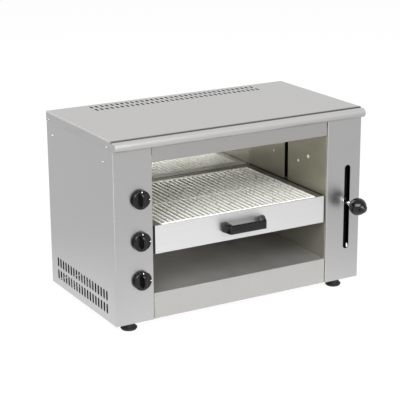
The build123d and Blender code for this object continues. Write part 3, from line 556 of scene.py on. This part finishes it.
nodeMaterials = {
    "panel": ["left_casing", "right_casing"],
    "rear": ["back_panel"],
    "valance": ["valance"],
    "cover": ["top_cover"],
    "floorPan": ["floor_panel"],
    "cavity": ["left_cavity_wall", "right_cavity_wall"],
    "mirror": ["cavity_back_wall", "ceiling_reflector"],
    "tray": ["tray_front"],
    "pan": ["drip_tray"],
    "galvanised": [
        "base_plate", "left_guide_frame", "right_guide_frame", "control_bracket", "element_brackets",
    ],
    "wool": ["insulation_blanket"],
    "sheath": ["left_heating_element", "right_heating_element"],
    "steatite": ["element_bushes", "terminal_block"],
    "zinc": [
        "foot_screws", "casing_screws", "handle_screws", "gland_nut", "lever_arm",
        "upper_spindle", "middle_spindle", "lower_spindle", "push_rod", "release_spring",
    ],
    "brightBolt": ["wall_screws", "wall_bolts"],
    "brass": ["bonding_stud"],
    "chrome": ["lever_rod"],
    "blackened": ["left_guide_rods", "right_guide_rods"],
    "wire": ["wire_grid"],
    "phenolic": ["upper_knob", "middle_knob", "lower_knob", "ball_knob", "release_button"],
    "moulding": ["tray_handle"],
    # the carriage rails are black-painted steel; the brake strap's black stands in for the shade inside the
    # lever slot: painted shade
    "enamel": ["left_carriage_rail", "right_carriage_rail", "rear_cross_bar", "bottom_tie", "brake_strap"],
    "aluminium": ["left_slide_block", "right_slide_block"],
    "rubber": ["front_left_foot", "front_right_foot", "rear_left_foot", "rear_right_foot"],
    "nylon": ["cable_gland", "left_zone_control", "right_zone_control", "timer_switch"],
}
for finish, names in nodeMaterials.items():
    for name in names:
        mesh = nodes[name].data
        if not mesh.materials:
            mesh.materials.append(materials[finish])
        for index in range(len(mesh.materials)):
            mesh.materials[index] = materials[finish]
print("frame nodes have their finishes")


def roundCorners(corners, steps=5):
    # corners are (a, b, radius); gives the outline with each of them turned into an arc
    outline = []
    for index, (a, b, radius) in enumerate(corners):
        here = Vector((a, b))
        if radius == 0:
            outline.append((a, b))
            continue
        back = (Vector(corners[index - 1][:2]) - here).normalized()
        on = (Vector(corners[(index + 1) % len(corners)][:2]) - here).normalized()
        half = back.angle(on) / 2
        centre = here + (back + on).normalized() * radius / math.sin(half)
        first = here + back * radius / math.tan(half) - centre
        last = here + on * radius / math.tan(half) - centre
        outline += [tuple(centre + first.slerp(last, step / steps)) for step in range(steps + 1)]
    return outline


def bridge(shape, first, second):
    # faces between two rings, or between a ring and a point
    for index in range(max(len(first), len(second))):
        after = index + 1
        corners = [
            first[index % len(first)], first[after % len(first)],
            second[after % len(second)], second[index % len(second)],
        ]
        shape.faces.new(list(dict.fromkeys(corners)))


def lathe(shape, centre, axis, outline, sides=64, lobes=4):
    # turns points round an axis: radius and distance along it in millimetres, and depth of the lobes if any
    axis = Vector(axis)
    across = axis.orthogonal().normalized()
    other = axis.cross(across)
    rings = []
    for radius, along, *wave in outline:
        middle = Vector(centre) + axis * along * mm
        if radius < 0.001:
            rings.append([shape.verts.new(middle)])
            continue
        ring = []
        for side in range(sides):
            angle = math.tau * side / sides
            reach = radius * mm * (1 - (wave[0] if wave else 0) * (0.5 - 0.5 * math.cos(lobes * angle)))
            ray = across * math.cos(angle) + other * math.sin(angle)
            ring.append(shape.verts.new(middle + ray * reach))
        rings.append(ring)
    for lower, upper in zip(rings, rings[1:]):
        bridge(shape, lower, upper)


def bevelEdges(shape, width, segments, sharper=25):
    # rounds the edges where faces meet at more than so many degrees
    edges = [e for e in shape.edges if e.is_manifold and e.calc_face_angle() > math.radians(sharper)]
    bmesh.ops.bevel(
        shape, geom=edges, offset=width * mm, segments=segments,
        profile=0.5, affect="EDGES", clamp_overlap=True,
    )


def finishMesh(name, shape, smoothUnder=32):
    bmesh.ops.recalc_face_normals(shape, faces=shape.faces)
    mesh = bpy.data.meshes.new(name)
    shape.to_mesh(mesh)
    shape.free()
    mesh.shade_smooth()
    mesh.set_sharp_from_angle(angle=math.radians(smoothUnder))
    return mesh


def addPiece(name, body, mesh, finishes, replaced=()):
    piece = bpy.data.objects.new(name, mesh)
    bpy.context.scene.collection.objects.link(piece)
    if not mesh.materials:
        for finish in finishes:
            mesh.materials.append(materials[finish])
    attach(piece, body)
    if replaced:
        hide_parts(*replaced)


def scatterTree():
    # a copy of one object on every point, turned to the point's own direction
    tree = bpy.data.node_groups.new("copiesOnPoints", "GeometryNodeTree")
    sockets = (
        ("Places", "NodeSocketGeometry", "INPUT"), ("Copy", "NodeSocketObject", "INPUT"),
        ("Finish", "NodeSocketMaterial", "INPUT"), ("Copies", "NodeSocketGeometry", "OUTPUT"),
    )
    for name, kind, way in sockets:
        tree.interface.new_socket(name, in_out=way, socket_type=kind)
    enter = addNode(tree, "NodeGroupInput")
    facing = addNode(
        tree, "GeometryNodeInputNamedAttribute", {"data_type": "FLOAT_VECTOR"}, {"Name": "facing"}
    )
    turn = addNode(tree, "FunctionNodeAlignRotationToVector", {"axis": "Z"}, {"Vector": facing.outputs[0]})
    copy = addNode(tree, "GeometryNodeObjectInfo", None, {"Object": enter.outputs["Copy"]})
    copies = addNode(
        tree, "GeometryNodeInstanceOnPoints", None,
        {
            "Points": enter.outputs["Places"],
            "Instance": copy.outputs["Geometry"],
            "Rotation": turn.outputs[0],
        },
    )
    real = addNode(tree, "GeometryNodeRealizeInstances", None, {0: copies.outputs[0]})
    painted = addNode(
        tree, "GeometryNodeSetMaterial", None,
        {"Geometry": real.outputs[0], "Material": enter.outputs["Finish"]},
    )
    leave = addNode(tree, "NodeGroupOutput")
    tree.links.new(painted.outputs[0], leave.inputs["Copies"])
    return tree


copiesOnPoints = scatterTree()


def scatterMesh(name, copyMesh, places, finish):
    # places are (point, direction); gives one plain mesh with the copy on each of them
    points = bpy.data.meshes.new(f"{name}Places")
    points.from_pydata([tuple(point) for point, _ in places], [], [])
    facing = points.attributes.new("facing", "FLOAT_VECTOR", "POINT")
    for index, (_, direction) in enumerate(places):
        facing.data[index].vector = direction
    holder = bpy.data.objects.new(f"{name}Places", points)
    pattern = bpy.data.objects.new(f"{name}Copy", copyMesh)
    bpy.context.scene.collection.objects.link(holder)
    bpy.context.scene.collection.objects.link(pattern)
    modifier = holder.modifiers.new("copies", "NODES")
    modifier.node_group = copiesOnPoints
    given = {"Copy": pattern, "Finish": materials[finish]}
    for item in copiesOnPoints.interface.items_tree:
        if item.in_out == "INPUT" and item.name in given:
            modifier[item.identifier] = given[item.name]
    reader = holder.evaluated_get(bpy.context.evaluated_depsgraph_get())
    mesh = bpy.data.meshes.new_from_object(reader)
    mesh.name = name
    bpy.data.objects.remove(holder)
    bpy.data.objects.remove(pattern)
    return mesh


knobValues = {
    "x": -321,
    "heights": {"upper": 349.4, "middle": 231.4, "lower": 120.4},
    "skirt": [  # radius, distance in front of the fascia, radius of the corner
        (0, 5, 0), (9, 5, 0.4), (9, 8, 0.3), (24.8, 8, 0.5), (26.1, 9.2, 0.6), (26.1, 10.6, 1.2),
        (24.1, 13, 0.9), (23.1, 12.3, 0.3), (0, 12.3, 0),
    ],
    "grip": [(0.6, 11.8, 0), (0, 12.6, 0.3), (0.9, 29.6, 2.6), (7, 30, 0)],  # inset, distance, corner radius
    "gripHalfLength": 18.8,
    "gripHalfWidth": 7.4,
    "gripSides": 48,
    "sideStart": 0.35,  # the straight sides' own points, as a share of the way to the round ends
    "waist": 0.2,
    "skirtSides": 72,
    "markReach": (20.8, 24.8),
    "markWidth": 1.9,
    "markThick": 0.5,
    "markDepth": 12.95,
}


def gripRing(shape, values, centre, inset, along):
    # a bar with round ends and a waist, seen from the front
    halfWidth = values["gripHalfWidth"] - inset
    straight = values["gripHalfLength"] - values["gripHalfWidth"]
    ring = []
    sides = values["gripSides"]
    for step in range(sides):
        angle = math.tau * (step + 0.5) / sides
        up = math.copysign(straight, math.sin(angle)) + halfWidth * math.sin(angle)
        if step % (sides // 2) in (0, sides // 2 - 1):
            up = math.copysign(straight * values["sideStart"], math.sin(angle))
        narrow = 1 - values["waist"] * max(0.0, 1 - (up / values["gripHalfLength"]) ** 2)
        offset = Vector((halfWidth * math.cos(angle) * narrow, -along, up)) * mm
        ring.append(shape.verts.new(centre + offset))
    return ring


def knobMark(shape, values, centre, across, up, width, height):
    # a thin bar of paint on the skirt's rim
    made = bmesh.ops.create_cube(shape, size=1)["verts"]
    bmesh.ops.scale(shape, vec=Vector((width, values["markThick"], height)) * mm, verts=made)
    bmesh.ops.translate(shape, vec=centre + Vector((across, -values["markDepth"], up)) * mm, verts=made)
    for face in {face for vert in made for face in vert.link_faces}:
        face.material_index = 1


def makeKnob(level, height, values):
    centre = place(values["x"], 0, height)
    shape = bmesh.new()
    lathe(shape, centre, (0, -1, 0), roundCorners(values["skirt"]), values["skirtSides"])
    rings = [gripRing(shape, values, centre, inset, along) for inset, along in roundCorners(values["grip"])]
    for lower, upper in zip(rings, rings[1:]):
        bridge(shape, lower, upper)
    shape.faces.new(rings[0])
    shape.faces.new(rings[-1])
    inner, outer = values["markReach"]
    knobMark(shape, values, centre, 0, (inner + outer) / 2, values["markWidth"], outer - inner)
    knobMark(shape, values, centre, (inner + outer) / 2, 0, (outer - inner) * 0.8, values["markWidth"])
    name = f"{level}ControlKnob"
    mesh = finishMesh(name, shape, 40)
    addPiece(name, f"{level}_control", mesh, ["phenolic", "pointer"], [f"{level}_knob"])


for level, height in knobValues["heights"].items():
    makeKnob(level, height, knobValues)
print("knobs are made")


leverValues = {
    "x": 355,
    "z": 237,
    "ballY": 55,
    "ballRadius": 25.5,
    "ballBack": 32,
    "ballSteps": 26,
    "ballSides": 72,
    "bore": 11.8,
    "lip": 0.8,  # chamfer at the ball's two openings
    "boreEdge": [(0.2, 0.1), (0, 0.7), (0, 4)],  # outwards from the bore, down from its rim
    "rodSides": 48,
    "buttonSides": 56,
    "rod": [  # radius, distance in front of the fascia, radius of the corner
        (0, -14, 0), (6, -14, 0.5), (6, 14.5, 0.3), (7.6, 15, 0.5), (7.6, 19, 0.5), (6, 19.5, 0.3),
        (6, 25.5, 0.3), (9, 26, 0.8), (9, 31, 1.2), (7, 32.4, 0), (7, 40, 0), (0, 40, 0),
    ],
    "button": [
        (0, 73.6, 0), (11.4, 73.6, 0.3), (11.4, 81.6, 0.3), (10.7, 82.1, 0.2), (10.7, 83.3, 0.2),
        (11.4, 83.8, 0.3), (11.4, 97, 8), (0, 97, 0),
    ],
}


def makeLever(values):
    centre = place(values["x"], 0, values["z"])
    forward = (0, -1, 0)
    rod = bmesh.new()
    lathe(rod, centre, forward, roundCorners(values["rod"]), values["rodSides"])
    addPiece("leverRod", "carriage", finishMesh("leverRod", rod), ["chrome"], ["lever_rod"])

    radius = values["ballRadius"]
    first = math.acos((values["ballBack"] - values["ballY"]) / radius)
    last = math.asin((values["bore"] + values["lip"]) / radius)
    outline = [(0, values["ballBack"]), (radius * math.sin(first) - values["lip"], values["ballBack"])]
    steps = values["ballSteps"]
    for step in range(steps + 1):
        angle = first + (last - first) * step / steps
        outline.append((radius * math.sin(angle), values["ballY"] + radius * math.cos(angle)))
    rim = values["ballY"] + radius * math.cos(last)
    outline += [(values["bore"] + wider, rim - lower) for wider, lower in values["boreEdge"]]
    outline.append((0, outline[-1][1]))
    ball = bmesh.new()
    lathe(ball, centre, forward, outline, values["ballSides"])
    mesh = finishMesh("leverBall", ball)
    addPiece("leverBall", "carriage", mesh, ["phenolic"], ["ball_knob"])

    button = bmesh.new()
    lathe(button, centre, forward, roundCorners(values["button"]), values["buttonSides"])
    mesh = finishMesh("releaseButton", button)
    addPiece("releaseButton", "release", mesh, ["phenolic"], ["release_button"])


makeLever(leverValues)
print("lever is made")


handleValues = {
    "outer": [(-69.5, 2), (-69.5, -6), (-58, -33), (58, -33), (69.5, -6), (69.5, 2)],  # x, y
    "inner": [(-52, 2), (-52, -3), (-47, -24.5), (47, -24.5), (52, -3), (52, 2)],
    "back": 2,
    "top": (243.5, 0.1725),  # height at the back, and how much it falls for each millimetre forwards
    "bottom": (216.8, 0.09),
    "edge": 1.8,
    "edgeSteps": 4,
}


def makeHandle(values):
    shape = bmesh.new()
    rings = []
    for outer, inner in zip(values["outer"], values["inner"]):
        ring = []
        for (x, y), face in ((outer, "bottom"), (outer, "top"), (inner, "top"), (inner, "bottom")):
            level, fall = values[face]
            ring.append(shape.verts.new(place(x, y, level - fall * (values["back"] - y))))
        rings.append(ring)
    for first, second in zip(rings, rings[1:]):
        bridge(shape, first, second)
    shape.faces.new(rings[0])
    shape.faces.new(rings[-1])
    bmesh.ops.recalc_face_normals(shape, faces=shape.faces)
    bevelEdges(shape, values["edge"], values["edgeSteps"])
    mesh = finishMesh("trayPull", shape, 50)
    addPiece("trayPull", "tray", mesh, ["moulding"], ["tray_handle"])


makeHandle(handleValues)
print("handle is made")


footValues = {
    "x": 342,
    "y": (42, 384),
    "height": 31,
    "outline": [  # radius, height, radius of the corner
        (0, 0, 0), (20.4, 0, 1.6), (22.7, 3, 1.4), (22.7, 5.4, 0.3), (22.1, 5.9, 0.2), (22.1, 6.7, 0.2),
        (22.6, 7.2, 0.3), (20.4, 12, 3), (16, 17.6, 2), (15, 30.9, 0.4), (0, 30.9, 0),
    ],
}


def makeFoot(end, side, x, y, values):
    foot = bmesh.new()
    outline = roundCorners(values["outline"], 4)
    lathe(foot, place(x, y, -values["height"]), (0, 0, 1), outline)
    mesh = finishMesh(f"{end}{side.title()}Foot", foot)
    addPiece(mesh.name, "cabinet", mesh, ["rubber"], [f"{end}_{side}_foot"])


for hand, side in ((-1, "left"), (1, "right")):
    for y, end in zip(footValues["y"], ("front", "rear")):
        makeFoot(end, side, hand * footValues["x"], y, footValues)
print("feet are made")


screwValues = {
    "pan": {"radius": 4.2, "height": 2.2, "recess": 2.1, "depth": 1.3},
    "low": {"radius": 4.0, "height": 1.0, "recess": 1.9, "depth": 0.7},
    "bolt": {"radius": 5.6, "height": 1.0, "recess": 0, "depth": 0},
    "shank": 2,
    "domeTurn": 62,  # degrees of the head's arc
    "rimShare": 0.25,
    "crossWave": 0.62,
    "sideX": 400,
    "casingSides": ((35, 495), (412, 493), (58, 450), (385, 452)),  # y, z
    "rearX": 388,
    "rearY": 426,
    "rearHeights": (30, 170, 310, 462),
    "wallX": 282,
    "wallScrews": ((147, 339), (280, 340)),
    "wallBolt": (96, 363),
}


def screwHead(name, values, head):
    # domed head with a cross recess, standing on the origin and facing +Z
    radius, height, recess, depth = (head[key] for key in ("radius", "height", "recess", "depth"))
    shank, rim, wave = values["shank"], values["rimShare"], values["crossWave"]
    full = math.radians(values["domeTurn"])
    outline = [(0, -shank), (radius * 0.5, -shank), (radius * 0.5, 0), (radius, 0), (radius, height * rim)]
    for step in range(1, 6):
        angle = step / 5 * full
        rise = (1 - rim) * math.sin(angle) / math.sin(full)
        outline.append((radius * math.cos(angle), height * (rim + rise)))
    if recess:
        outline += [(recess, height, wave), (recess * 0.7, height - depth, wave), (0, height - depth * 1.1)]
    else:
        outline.append((0, height))
    shape = bmesh.new()
    lathe(shape, (0, 0, 0), (0, 0, 1), outline, 40)
    return finishMesh(name, shape)


def makeScrews(values):
    casing = []
    wall = []
    bolts = []
    for hand in (-1, 1):
        for y, z in values["casingSides"]:
            casing.append((place(hand * values["sideX"], y, z), (hand, 0, 0)))
        for z in values["rearHeights"]:
            casing.append((place(hand * values["rearX"], values["rearY"], z), (0, 1, 0)))
        for y, z in values["wallScrews"]:
            wall.append((place(hand * values["wallX"], y, z), (-hand, 0, 0)))
        bolts.append((place(hand * values["wallX"], *values["wallBolt"]), (-hand, 0, 0)))
    groups = (
        ("casingScrewHeads", "pan", casing, "zinc", "casing_screws"),
        ("wallScrewHeads", "low", wall, "brightBolt", "wall_screws"),
        ("wallBoltHeads", "bolt", bolts, "brightBolt", "wall_bolts"),
    )
    for name, kind, places, finish, node in groups:
        mesh = scatterMesh(name, screwHead(f"{name}One", values, values[kind]), places, finish)
        addPiece(name, "cabinet", mesh, [finish], [node])


makeScrews(screwValues)
print("screws are made")


gridValues = {
    "count": 32,
    "pitch": 16,
    "radius": 3.6,
    "rodSides": 20,
    "chamfer": 0.8,
    "crossRadius": 4.0,
    "overhang": 2.2,
    "z": 264,
    "front": 12,
    "back": 384.5,
    "middleDrop": 5.3,
    "middleRadius": 3,
    "middleReach": 238,
    "middleSides": 16,
    "bead": 4.4,
    "beadShape": (1.12, 1, 0.86),
    "beadDrop": 0.6,
}


def barOutline(radius, length):
    chamfer = gridValues["chamfer"]
    return roundCorners([(0, 0, 0), (radius, 0, chamfer), (radius, length, chamfer), (0, length, 0)], 3)


def makeGrid(values):
    first = -values["pitch"] * (values["count"] - 1) / 2
    xs = [first + index * values["pitch"] for index in range(values["count"])]
    reach = values["crossRadius"]
    start, end = values["front"] - reach * 0.5, values["back"] + reach * 0.5
    rod = bmesh.new()
    lathe(rod, (0, 0, 0), (0, 0, 1), barOutline(values["radius"], end - start), values["rodSides"])
    places = [(place(x, start, values["z"]), (0, 1, 0)) for x in xs]
    mesh = scatterMesh("gridRods", finishMesh("gridRod", rod), places, "wire")
    addPiece("gridRods", "grid", mesh, ["wire"], ["wire_grid"])

    frameBars = bmesh.new()
    left = first - values["overhang"]
    crossBar = barOutline(reach, -2 * left)
    for y in (values["front"], values["back"]):
        lathe(frameBars, place(left, y, values["z"]), (1, 0, 0), crossBar, values["rodSides"])
    middleBar = barOutline(values["middleRadius"], 2 * values["middleReach"])
    middle = (values["front"] + values["back"]) / 2
    leftEnd = place(-values["middleReach"], middle, values["z"] - values["middleDrop"])
    lathe(frameBars, leftEnd, (1, 0, 0), middleBar, values["middleSides"])
    addPiece("gridFrame", "grid", finishMesh("gridFrame", frameBars), ["wire"])

    bead = bmesh.new()
    bmesh.ops.create_uvsphere(bead, u_segments=12, v_segments=8, radius=values["bead"] * mm)
    bmesh.ops.scale(bead, vec=values["beadShape"], verts=bead.verts)
    level = values["z"] - values["beadDrop"]
    spots = [(place(x, y, level), (0, 0, 1)) for x in xs for y in (values["front"], values["back"])]
    mesh = scatterMesh("gridWelds", finishMesh("gridWeld", bead, 80), spots, "wire")
    addPiece("gridWelds", "grid", mesh, ["wire"])


makeGrid(gridValues)
print("grid is made")


rearValues = {
    "panelFace": 424.5,
    "glandX": -340,
    "glandZ": 60,
    "hex": [  # radius, distance behind the panel, radius of the corner
        (0, -12.5, 0), (8, -12.5, 0.3), (8, -0.1, 0), (14.0, 0, 0.6), (14.0, 8.8, 0.9),
        (10, 9, 0), (10, 9.2, 0), (0, 9.2, 0),
    ],
    "cap": [  # radius, distance behind the panel, depth of the ribs
        (0, 8.6), (10.9, 8.6, 0.09), (11.6, 9.4, 0.09), (11.6, 18, 0.09), (10.8, 22.5, 0.09),
        (8.6, 26.4, 0.09), (6.4, 27.3), (5.2, 26.8), (5.0, 12), (0, 12),
    ],
    "capSides": 96,
    "capRibs": 16,
    "plateMiddle": (150, 250),  # x, z
    "plateHalf": (52, 30),
    "plateThick": 0.8,
    "plateCorner": 4,
    "plateChamfer": 0.2,
    "rivetInset": 6,
    "rivet": [(0, -0.3, 0), (2.6, -0.3, 0), (2.6, 0.4, 0.3), (1.2, 1.1, 0.6), (0, 1.1, 0)],
}


def makeRear(values):
    panelFace = values["panelFace"]
    gland = bmesh.new()
    centre = place(values["glandX"], panelFace, values["glandZ"])
    lathe(gland, centre, (0, 1, 0), roundCorners(values["hex"], 3), 6)
    lathe(gland, centre, (0, 1, 0), values["cap"], values["capSides"], values["capRibs"])
    mesh = finishMesh("glandBody", gland, 30)
    addPiece("glandBody", "cabinet", mesh, ["nylon"], ["cable_gland"])

    plate = bmesh.new()
    x, z = values["plateMiddle"]
    halfX, halfZ = values["plateHalf"]
    thick, chamfer = values["plateThick"], values["plateChamfer"]
    quarters = ((-1, -1), (1, -1), (1, 1), (-1, 1))
    corners = [(a * halfX, b * halfZ, values["plateCorner"]) for a, b in quarters]
    rings = []
    for depth, inset in ((0, 0), (thick - chamfer, 0), (thick, chamfer)):
        ring = []
        for a, b in roundCorners(corners):
            shrink = Vector((a, b)) * (1 - inset / halfZ)
            ring.append(plate.verts.new(place(x + shrink.x, panelFace + depth, z + shrink.y)))
        rings.append(ring)
    for lower, upper in zip(rings, rings[1:]):
        bridge(plate, lower, upper)
    plate.faces.new(rings[0])
    plate.faces.new(rings[-1])
    inset = values["rivetInset"]
    for a, b in quarters:
        spot = place(x + a * (halfX - inset), panelFace + thick, z + b * (halfZ - inset))
        lathe(plate, spot, (0, 1, 0), roundCorners(values["rivet"], 3), 24)
    addPiece("barePlate", "cabinet", finishMesh("barePlate", plate), ["aluminium"])


makeRear(rearValues)
print("rear pieces are made")
